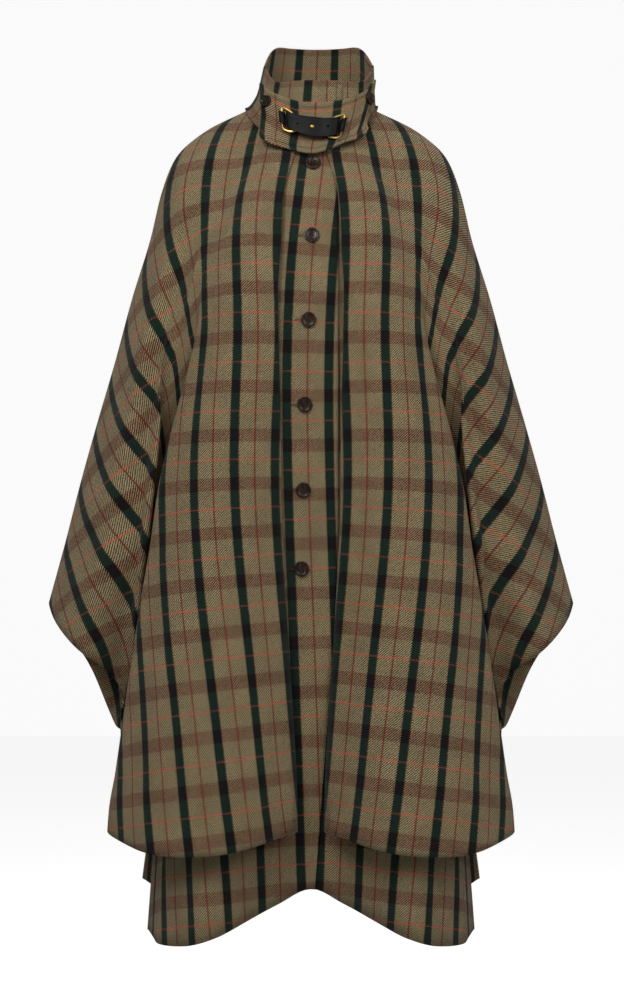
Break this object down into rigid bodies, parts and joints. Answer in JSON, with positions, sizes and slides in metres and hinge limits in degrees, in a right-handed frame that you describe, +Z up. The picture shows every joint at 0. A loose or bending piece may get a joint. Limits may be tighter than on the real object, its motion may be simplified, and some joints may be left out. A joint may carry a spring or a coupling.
{
  "type": "cape coat",
  "caption": "Checked wool cape coat: short wing-sleeved cape over a longer buttoned coat, with a stand collar and a strapped throat band.",
  "frame": {"origin": "on the wearer's shoulders, midway between them: halfway from front to back of the neck, at the height where the shoulders meet the neck", "axes": "+Z up along the wearer's body, +X to the wearer's left, -Y to the front"},
  "size_m": [0.714, 0.4063, 1.2082],
  "materials": {
    "checked_wool": "woollen twill with an estate check in bottle green, dark red, coral and brown",
    "black_leather": "smooth, lightly polished",
    "brass": "polished",
    "horn": "dark brown horn, satin"
  },
  "bodies": {
    "root": {"band_button_left": "horn", "band_button_right": "horn", "cape_back": "checked_wool", "cape_front_left": "checked_wool", "cape_front_right": "checked_wool", "coat_back": "checked_wool", "coat_button_1": "horn", "coat_button_2": "horn", "coat_button_3": "horn", "coat_button_4": "horn", "coat_button_5": "horn", "coat_button_6": "horn", "coat_front_left": "checked_wool", "coat_front_right": "checked_wool", "ring_left": "brass", "ring_loop_left": "black_leather", "ring_loop_right": "black_leather", "ring_right": "brass", "stand_collar": "checked_wool", "strap": "black_leather", "strap_stud": "brass", "throat_band": "checked_wool"}
  },
  "joints": []
}
